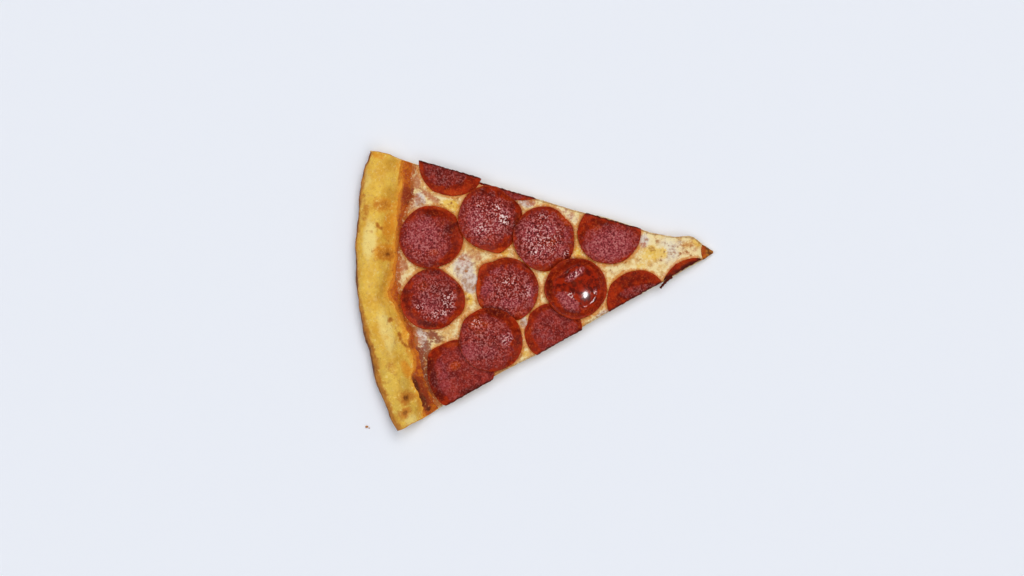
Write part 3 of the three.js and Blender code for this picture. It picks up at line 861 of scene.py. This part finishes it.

# Where the slices are mauve; orange, partly their own colour and partly painted highlight on the
# rims; dark, partly their own colour and partly painted shade where slices overlap; or thick with
# flecks of fat, among which glints are painted.
MAUVE = (
    (-67, 30.8, 11.8, 12.4, -7, 1), (-57, 23.4, 5, 6.2, -7, 0.6), (-33.1, 37, 6.2, 10, -7, 1),
    (-31.2, 30.6, 7.5, 5.6, -7, 1), (-20.3, 31.6, 5.6, 6.2, -7, 0.8), (-14.5, 39, 3.7, 3.7, 0, 1),
    (-0.9, 24.5, 7.5, 8.7, -7, 1), (11.1, 25.7, 5.6, 5.6, 0, 1), (23.4, 20.1, 4.4, 4.4, 0, 0.9),
    (5, 12.4, 7.5, 4.4, -7, 0.8), (16.9, 12.8, 5, 4.4, -7, 0.7), (49.5, 12.8, 8.7, 5, -7, 0.8),
    (-66.8, -11.8, 8.1, 6.8, -27, 1), (-69.7, -5.2, 5, 5, 0, 0.6), (-31.2, -6.6, 5, 6.2, -7, 1),
    (-5.5, 5.8, 5.6, 3.1, -47, 1), (-4.8, -12.2, 2.5, 8.1, 3, 1), (-17.5, -16.6, 8.7, 3.7, -7, 1),
    (-24.9, 3.3, 5, 3.1, 13, 0.7), (24.2, -3.9, 7.2, 2.2, 29, 1.2), (18.1, -20.2, 8.1, 4.4, -47, 1.2),
    (35.7, -16.1, 1.2, 2.2, -7, 0.9), (-45.6, -43.7, 6.2, 7.5, -57, 1), (-22.2, -39.1, 5.6, 5.6, 0, 1),
    (-35.6, -45.5, 8.7, 4.4, -7, 0.9), (-32.4, -34, 5, 3.1, -7, 0.4), (-65.4, -51.2, 4.4, 4.4, 0, 0.5),
    (-64.3, -57.1, 3.7, 3.7, 0, 0.7), (-63.3, -62.9, 4.4, 3.7, -7, 0.8),
    (-57, -38.4, 3.7, 2.5, -7, 0.6), (-46.7, -49.2, 4.4, 3.7, -7, 0.3), (48, 12, 15, 10, 0, 1.35),
    (-24, 40, 5, 5, 0, 0.5), (1.4, -39.2, 6.2, 4.4, -7, 0.5), (9.2, -32, 5, 3.1, -7, 0.4),
    (-12.6, 49.5, 6.2, 2.5, -21, 0.6), (-4.2, 46.6, 5, 1.9, -21, 0.5),
)
# Orange patches: partly the meat's own colour, partly painted highlight streaks on the rims.
ORANGE = (
    (-61.4, 19.9, 5, 2.5, -7, 0.6), (-54.7, 37.5, 4.4, 2.5, -7, 0.4), (-21.5, 16.1, 6.8, 1.9, 8, 0.9),
    (-40.8, 24.6, 3.1, 1.9, -37, 0.7), (-25.3, 23.7, 5.6, 2.5, -7, 0.45),
    (-11.3, 46.4, 5.6, 3.1, -47, 0.35), (21.5, 31.1, 7.5, 2.5, -55, 0.9), (4.3, 2.2, 7.5, 1.9, -7, 0.5),
    (-54, 46.5, 6, 2, -20, 0.7), (11.7, 17.3, 5, 3.1, -7, 0.6), (-9.2, 9, 3.7, 1.9, -67, 0.6),
    (41.3, 23.1, 3.7, 2.5, 23, 0.5), (53, 0.5, 6.2, 1.9, 3, 0.5), (-70.6, -0.6, 5, 4.4, -7, 0.6),
    (-54.8, -22, 3.7, 1.9, 43, 0.6), (-36.3, -4.5, 1.9, 7.5, -7, 1), (-31.9, 7.9, 3.7, 3.1, 33, 0.8),
    (-21.1, 9.1, 7.5, 1.9, -2, 0.5), (-35.8, -14.8, 2.5, 3.7, -7, 0.8),
    (-12.4, -23.8, 6.2, 1.9, 13, 0.6), (-16.3, -3.3, 7.5, 4.4, -7, 0.35),
    (30.6, -24.1, 5, 3.1, 33, 0.35), (25, -9.4, 5, 2.5, -7, 0.3), (-40.3, -26.7, 5.6, 4.4, 28, 0.8),
    (-34.9, -28.5, 3.7, 2.5, -7, 0.7), (-38.4, -32, 5, 3.7, -7, 0.5), (-56.4, -51.7, 4.4, 3.1, 13, 1),
    (-50.3, -58.2, 5, 3.7, -7, 0.4), (-56.7, -38.7, 5.6, 1.9, 3, 0.7), (-68, -54.3, 1.2, 5, -7, 0.5),
    (-59.2, -65.3, 5, 2.5, 8, 0.4), (-63.1, 72.9, 1.9, 5, 3, 0.6), (-45.8, 55.7, 7.5, 1.9, -15, 0.8),
    (-36.7, 57.9, 5, 1.9, 13, 0.5), (-7.5, -35.7, 1.9, 6.8, -32, 0.6), (49.8, -16.1, 5, 2.5, 33, 0.4),
    (93.8, -4.3, 8.7, 2.5, 18, 0.5),
)
# Dark patches: partly the rims' own dark maroon, partly painted shade where slices overlap.
DARK = (
    (-59.6, 44.3, 8.7, 2.5, -2, 0.8), (-49.4, 33.4, 4.6, 5.6, -30, 0.95),
    (-61.3, 13.2, 7.5, 2.5, -7, 0.4), (-23.5, 52.6, 8.7, 2.5, -17, 0.7), (-8.2, 33.3, 2.5, 6.8, -7, 1),
    (-8.9, 43.4, 3.7, 3.7, 0, 0.5), (-17.2, 26.2, 3.1, 2.5, -7, 0.5), (-8.1, 18.9, 1.9, 7.5, -7, 0.5),
    (43.6, 26.6, 7.5, 1.9, -21, 0.8), (32.1, 19.2, 1.9, 5.6, -7, 0.3), (-64.4, 7.9, 8.7, 2.5, -7, 0.7),
    (-82.3, -5.6, 2.5, 7.5, -7, 0.8), (-70.1, -24, 7.5, 2.5, -17, 1), (-49.4, -8.2, 1.9, 7.5, -7, 0.7),
    (-17.8, 10.6, 5.6, 1.9, -7, 0.5), (7.9, -10.5, 2.5, 8.7, -7, 1), (23.9, 2.6, 8.7, 3.1, 13, 0.25),
    (18.5, -26.8, 8.7, 2.5, -17, 0.8), (23.7, -9.3, 5, 3.1, -7, 0.5), (-26.6, -21.5, 10, 3.7, -22, 1),
    (-14.8, -39.2, 1.9, 7.5, -7, 0.6), (-50.9, -36.8, 1.2, 7.5, -7, 0.7),
    (-36.2, -55.5, 8.7, 1.9, 3, 0.4), (-71.3, -54, 3.6, 13, 8, 1.1), (-68.5, -68.5, 3.6, 6, 25, 0.9),
    (30, -20, 7, 4, 20, 0.5), (-50.1, -67.6, 8.7, 2.5, 20, 1), (-51.5, 70.3, 3.7, 3.1, -7, 0.4),
    (-5.5, -44.7, 6.2, 2.5, 23, 0.5), (57, -8.8, 8.7, 2.5, 8, 0.6), (71.4, -13.6, 5, 2.5, 13, 0.6),
    (-46, 68, 17, 10, -20, 0.7), (-62, -6, 13, 12, 0, 0.6), (-34, -42, 15, 13, 0, 0.45),
    (6.4, 2.6, 9, 2.2, 0, 0.5), (-29, 20.6, 7, 2, -7, 0.5), (-54, -57, 15, 12, 0, 0.3),
    (4, -39, 14, 10, 0, 0.35), (-15, 33, 5, 10, 0, 0.5), (66, -22, 12, 3, 28, 0.8),
    (52, -22, 5, 5, 0, 0.5), (58, -12, 14, 5, 8, 0.7), (65, -19, 12, 4.5, 25, 0.85),
    (98, -10, 12, 8, 25, 0.6),
)
# Where the bowls are thick with pale flecks of fat and with painted glints.
FLECKS_AND_GLINTS = (
    (-44.1, 68, 18, 12, -20, 0.2), (-66.6, 28, 15, 15, 0, 0.5), (-25.5, 37, 17, 17, 0, 0.7),
    (-31.2, 30.6, 6.8, 6.2, -7, 0.9), (-30.1, 45, 3.1, 3.1, 0, 0.9), (-15.4, 36, 4.6, 6.2, -7, 1.15),
    (65, -19, 12, 4, 25, 0.2), (-19.5, 42.8, 3.1, 2.5, -7, 1.3), (6.5, 20.5, 17, 17, 0, 0.8),
    (-0.2, 12.5, 3.7, 2.5, -7, 1.2), (9, 34.2, 4.4, 2.5, -7, 1.1), (20.2, 8.7, 3.7, 3.7, 0, 1),
    (47.7, 12, 16, 12, 0, 0.5), (-65, -8, 14, 14, 0, 0.5), (-55.8, -10.7, 6, 9, -10, 0.85),
    (-73.4, -12.8, 5, 5, 0, 0.75), (-62.6, -18.4, 11, 4, 8, 0.85), (-18, -9, 17, 17, 0, 0.6),
    (-16.3, -3.3, 8, 4.6, -7, 0.9), (-5.8, -10.2, 3.1, 7.5, -7, 0.8), (24.2, -3.9, 6.8, 2.2, 29, 1.1),
    (18.1, -20.2, 8.5, 5, -47, 0.45), (20.8, -16.6, 7, 1.5, -45, 1.3), (35.7, -16.1, 1.6, 3, -7, 1.5),
    (-35, -39, 16, 16, 0, 0.5), (-22.2, -39.1, 5, 5.6, -7, 0.9), (-40.3, -26.7, 5.6, 4.4, -7, 0.8),
    (-55, -56, 16, 14, 0, 0.12), (5, -38, 14, 12, 0, 0.15),
)


def bed_height(topping, x, y):
    """The surface that a slice rests on: the cheese, and the slices under it, over which it drapes."""
    sheet = cheese_top(x, y) + GAP
    lift = 0
    for name in topping.get("over", ()):
        needed = bed_height(SLICES[name], x, y) - sheet + PEPPERONI - 0.2
        lift = np.maximum(lift, needed * (1 - smooth(beyond(SLICES[name], x, y), 0, DRAPE)))
    return sheet + lift


def cup_height(name, x, y):
    """The raised edge of a cupped slice, pressed flat where another slice lies over it."""
    topping = SLICES[name]
    raised = CUP_HEIGHT * smooth(share_out(topping, x, y), CUP_STARTS, 1.05)
    for cover in SLICES.values():
        if name in cover.get("over", ()):
            raised = raised * smooth(beyond(cover, x, y), 0, DRAPE / 2)
    return raised


def past_cut(topping, x, y):
    """How far past a slice's cut a place lies; a whole slice has none."""
    if "cut" not in topping:
        return np.full(np.shape(x), -99.0)
    out_x, out_y = OUTWARDS[topping["cut"]]
    return (x - MEETING_POINT[0]) * out_x + (y - MEETING_POINT[1]) * out_y - topping["past"]


# A slice's rings run from its middle out over the top, round the edge and in below: each has its
# share of the reach, how far the edge's rounding draws it in, and how far up the side it is.
bend = np.radians(np.linspace(90, -90, EDGE_RINGS + 1)[1:])
over_top = np.sin(np.arange(1, TOP_RINGS + 1) / TOP_RINGS * math.pi / 2)
RING_SHARE = np.concatenate([over_top, np.ones(EDGE_RINGS), UNDER_RINGS])
RING_INSET = np.concatenate([np.ones(TOP_RINGS), 1 - np.cos(bend), np.ones(len(UNDER_RINGS))])
RING_RISE = np.concatenate([np.ones(TOP_RINGS), (1 + np.sin(bend)) / 2, np.zeros(len(UNDER_RINGS))])


def slice_plan(topping, number):
    """The x and y of a slice's points, ring by ring, and then its middle twice."""
    random = np.random.default_rng(100 + number)
    start_x, start_y = topping["at"]
    if "cut" in topping:
        half = sum(topping["half"]) / 2
        kept = min(half, -past_cut(topping, start_x, start_y))
        start_x, start_y = np.array(topping["at"]) - np.array(OUTWARDS[topping["cut"]]) * (half - kept) / 2
    spoke = np.arange(SPOKES) * 2 * math.pi / SPOKES
    waves = ((2, 0.2), (3, 0.2), (5, 0.14), (9, 0.08))
    wobble = sum(height * np.sin(count * spoke + random.uniform(0, 7)) for count, height in waves)

    # Each spoke reaches as far as the last trial place before it leaves the slice.
    farthest = 2.4 * sum(topping["half"])
    along = np.arange(1, TRIALS + 1) * farthest / TRIALS
    x = start_x + np.cos(spoke)[:, None] * along
    y = start_y + np.sin(spoke)[:, None] * along
    torn = 0.4 * lumps(level(x.ravel(), y.ravel()), 2.2, 90 + number).reshape(x.shape)
    inside = (beyond(topping, x, y) < wobble[:, None]) & (past_cut(topping, x, y) + torn < 0)
    reach = np.argmin(inside, axis=1) * farthest / TRIALS
    distance = np.maximum(RING_SHARE[:, None] * reach - EDGE_ROUNDING * RING_INSET[:, None], 0.02)
    x = (start_x + distance * np.cos(spoke)).ravel()
    y = (start_y + distance * np.sin(spoke)).ravel()
    return np.append(x, [start_x, start_x]), np.append(y, [start_y, start_y])


def ring_quads(rings, sides):
    """The quads between rings of points that are numbered one ring after the other."""
    here = np.arange(sides)
    after = (here + 1) % sides
    ring = np.arange(rings - 1)[:, None] * sides
    quads = np.stack([ring + here, ring + sides + here, ring + sides + after, ring + after], axis=-1)
    return quads.reshape(-1, 4)


def slice_faces():
    """The faces of any slice, with a fan round its middle above and below."""
    middle = len(RING_SHARE) * SPOKES
    last = middle - SPOKES
    faces = ring_quads(len(RING_SHARE), SPOKES).tolist()
    faces += [(middle, i, (i + 1) % SPOKES) for i in range(SPOKES)]
    faces += [(middle + 1, last + (i + 1) % SPOKES, last + i) for i in range(SPOKES)]
    return faces


def pepperoni_slice(name, number):
    """The points and faces of one slice, and the marks of its finish."""
    topping = SLICES[name]
    x, y = slice_plan(topping, number)
    rise = np.append(np.repeat(RING_RISE, SPOKES), [1, 0])
    place = level(x, y)
    ripple = relief(place, 110 + number, (9, 0.35), (4, 0.2))
    lower = bed_height(topping, x, y) + cup_height(name, x, y) * topping.get("cup", 1) * (1 + 0.9 * ripple)
    bowl_x, bowl_y, bowl_length, bowl_width = topping["bowl"]
    off_x = (x - topping["at"][0] - bowl_x) / bowl_length
    off_y = (y - topping["at"][1] - bowl_y) / bowl_width
    away = np.hypot(off_x, off_y) + 0.13 * relief(place, 120 + number, (9, 1), (4, 0.7))
    bowl = smooth(away, 1.14, 0.82)
    grain = relief(place, 130 + number, (5, 0.12), (1.9, 0.12), (1.1, 0.1))
    upper = lower + PEPPERONI - 0.25 + grain * (0.35 + 0.65 * bowl)
    wet = np.zeros(len(x))
    if name == "greasy":
        islands = smooth(spots_at(x, y, ISLANDS) + 0.3 * lumps(place, 2.4, 151), 0.2, 0.75)
        inside = smooth(share_out(topping, x, y), 0.95, 0.6)
        hollow = upper - GREASE_DEPTH * inside
        surface_height = np.median(upper[inside * rise > 0.99]) - 0.2
        pool = SHORE * np.logaddexp(hollow / SHORE, surface_height / SHORE)
        wet = smooth(surface_height - hollow, 0.05, 0.35) * smooth(islands, 0.2, 0.02) * (rise > 0.9)
        upper = np.maximum(pool + islands * (0.3 + grain), lower + 0.3)
        bowl = np.minimum(1.2 * islands, 1)
    edge = 0.5 * (1 - rise) + 0.45 * smooth(beyond(topping, x, y), -1.3, -0.3)
    marks = dict(
        bowl=bowl,
        # Painted shade on the cup's inner slope, round the bowl.
        ring=smooth(away, 1.32, 1.12) * smooth(away, 0.9, 1.08),
        mauve=spots_at(x, y, MAUVE),
        # Partly painted highlight on the rims.
        orange=np.maximum(spots_at(x, y, ORANGE), edge),
        # Partly painted shade where slices overlap.
        dark=spots_at(x, y, DARK),
        # Flecks of fat and painted glints.
        flecks_and_glints=spots_at(x, y, FLECKS_AND_GLINTS),
        wet=wet,
        scorched=0.9 * smooth(past_cut(topping, x, y), -2.1, -0.2),
    )
    return np.stack([x, y, mixed(lower, upper, rise)], axis=1), slice_faces(), marks


# The shred of the last slice: points on its middle line, and how many rings and sides it has.
SHRED_PATH = ((84, -12.4, 9.0), (80.8, -14.2, 9.2), (78.4, -16.4, 8.2), (76.4, -18.4, 6.8))
SHRED_RINGS = 22
SHRED_SIDES = 12


def shred(path, start):
    """A thin burnt shred along a path, as points and as faces numbered from start."""
    share = np.linspace(0, len(path) - 1, SHRED_RINGS)
    curves = [np.polyfit(range(len(path)), values, 3) for values in zip(*path)]
    line = np.stack([np.polyval(curve, share) for curve in curves], axis=1)
    along = np.gradient(line, axis=0)
    along /= np.linalg.norm(along, axis=1, keepdims=True)
    side = np.cross(along, (0, 0, 1))
    side /= np.linalg.norm(side, axis=1, keepdims=True)
    up = np.cross(side, along)
    turn = np.arange(SHRED_SIDES) * 2 * math.pi / SHRED_SIDES
    thick = (1.0 - 0.1 * share + 0.14 * np.sin(share * 9))[:, None, None]
    ring = np.cos(turn)[:, None] * side[:, None, :] + np.sin(turn)[:, None] * up[:, None, :]
    points = (line[:, None, :] + thick * ring).reshape(-1, 3)
    quads = start + ring_quads(SHRED_RINGS, SHRED_SIDES)[:, [0, 3, 2, 1]]
    first = start + np.arange(SHRED_SIDES)
    last = first + (SHRED_RINGS - 1) * SHRED_SIDES
    return points, quads.tolist() + [first[::-1].tolist(), last.tolist()]


for number, name in enumerate(SLICES):
    points, faces, marks = pepperoni_slice(name, number)
    if name == "sliver_right":
        strip, strip_faces = shred(SHRED_PATH, len(points))
        points = np.concatenate([points, strip])
        faces += strip_faces
        marks["scorched"] = smooth(past_cut(SLICES[name], points[:, 0], points[:, 1]), -4.2, -0.6)
        marks["scorched"][-len(strip):] = 1.2
        for key, value in marks.items():
            marks[key] = np.append(value, np.full(len(points) - len(value), value[-1]))
    piece = add_piece("pepperoni_slice_" + name, points, faces, [meat])
    mark_piece(piece, **marks)
    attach(piece, "root")
    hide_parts("pepperoni_" + name)

# ---- Crumbs ------------------------------------------------------------------------------------
# Two crumbs of baked crust that fell off at the corner where the slice was cut. Each is a lumpy,
# flattened ball that lies loose beside the rim. A row is a crumb's x, its y and its rough radius.
CRUMBS = ((-116.2, -83.6, 0.75), (-114.8, -84.7, 0.35))
CRUMB_SIDES = 12
CRUMB_RINGS = 7

crumb_points = []
crumb_faces = []
around = np.linspace(0, 2 * math.pi, CRUMB_SIDES + 1)[:-1]
down, turn = np.meshgrid(np.linspace(0.3, 2.84, CRUMB_RINGS), around, indexing="ij")
ball = np.stack([np.cos(turn) * np.sin(down), np.sin(turn) * np.sin(down), np.cos(down)], axis=-1)
ball = ball.reshape(-1, 3)
for number, (at_x, at_y, size) in enumerate(CRUMBS):
    crumb = ball * (1 + 0.5 * lumps(ball, 0.9, 200 + number))[:, None] * size * (1.2, 0.9, 0.7)
    crumb_points.append(crumb + (at_x, at_y, -crumb[:, 2].min()))
    quads = number * len(ball) + ring_quads(CRUMB_RINGS, CRUMB_SIDES)
    first = number * len(ball) + np.arange(CRUMB_SIDES)
    last = first + (CRUMB_RINGS - 1) * CRUMB_SIDES
    crumb_faces += quads.tolist() + [first.tolist(), last[::-1].tolist()]
crumbs = add_piece("crust_crumbs", np.concatenate(crumb_points), crumb_faces, [crust])
flecks = np.full(len(crumbs.data.vertices), 0.75)
mark_piece(crumbs, pale=0 * flecks, olive=0 * flecks, toasted=0 * flecks, browned=flecks)
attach(crumbs, "root")

# ---- The table, the light and the camera ---------------------------------------------------------
# A plain pale table, three broad soft lamps round it, a small one overhead for the glint on the
# grease, and a camera straight above.
table_finish, s = new_finish("pale_table")
surface(s, Base_Color=colour((240, 243, 250)), Roughness=0.9, Specular_IOR_Level=0.1)
table_mesh = bpy.data.meshes.new("table_top")
table_mesh.from_pydata([(-3, -3, 0), (3, -3, 0), (3, 3, 0), (-3, 3, 0)], [], [(0, 1, 2, 3)])
table_mesh.materials.append(table_finish)
table = bpy.data.objects.new("table_top", table_mesh)
bpy.context.scene.collection.objects.link(table)

world = bpy.data.worlds.new("studio")
world.use_nodes = True
s = Shade(world.node_tree)
seen = s.node("ShaderNodeLightPath", {}, {})
tones = {0: seen, 6: (0.3, 0.31, 0.325, 1), 7: (0.78, 0.8, 0.85, 1)}
walls = s.node("ShaderNodeMix", {"data_type": "RGBA"}, tones, 2)
s.fill(world.node_tree.nodes["Background"], {"Color": walls})
bpy.context.scene.world = world


def lamp(name, kind, at, power, **shape):
    """A lamp that shines from a place towards the middle of the slice."""
    light = bpy.data.lights.new(name, kind)
    light.energy = power
    for part, value in shape.items():
        setattr(light, part, value)
    holder = bpy.data.objects.new(name, light)
    holder.location = at
    holder.rotation_euler = (math.atan2(math.hypot(at[0], at[1]), at[2]), 0, math.atan2(at[0], -at[1]))
    bpy.context.scene.collection.objects.link(holder)


lamp("far_lamp", "SUN", (0.36, 0.5, 0.95), 1.2, angle=0.6)
lamp("near_lamp", "SUN", (0.36, -0.52, 0.95), 0.52, angle=0.6)
lamp("rim_lamp", "SUN", (-0.6, 0.06, 0.95), 0.64, angle=0.6)
lamp("small_lamp", "AREA", (0.09, -0.03, 1.35), 0.045, shape="ELLIPSE", size=0.009, size_y=0.006)

camera = bpy.data.cameras.new("camera")
camera.lens = 56
camera.clip_start = 0.01
holder = bpy.data.objects.new("camera", camera)
holder.location = (-0.01556, -0.00779, 1.0)
holder.rotation_euler = (0, 0, math.radians(-6.67))
bpy.context.scene.collection.objects.link(holder)
bpy.context.scene.camera = holder
bpy.context.scene.view_settings.view_transform = "Standard"
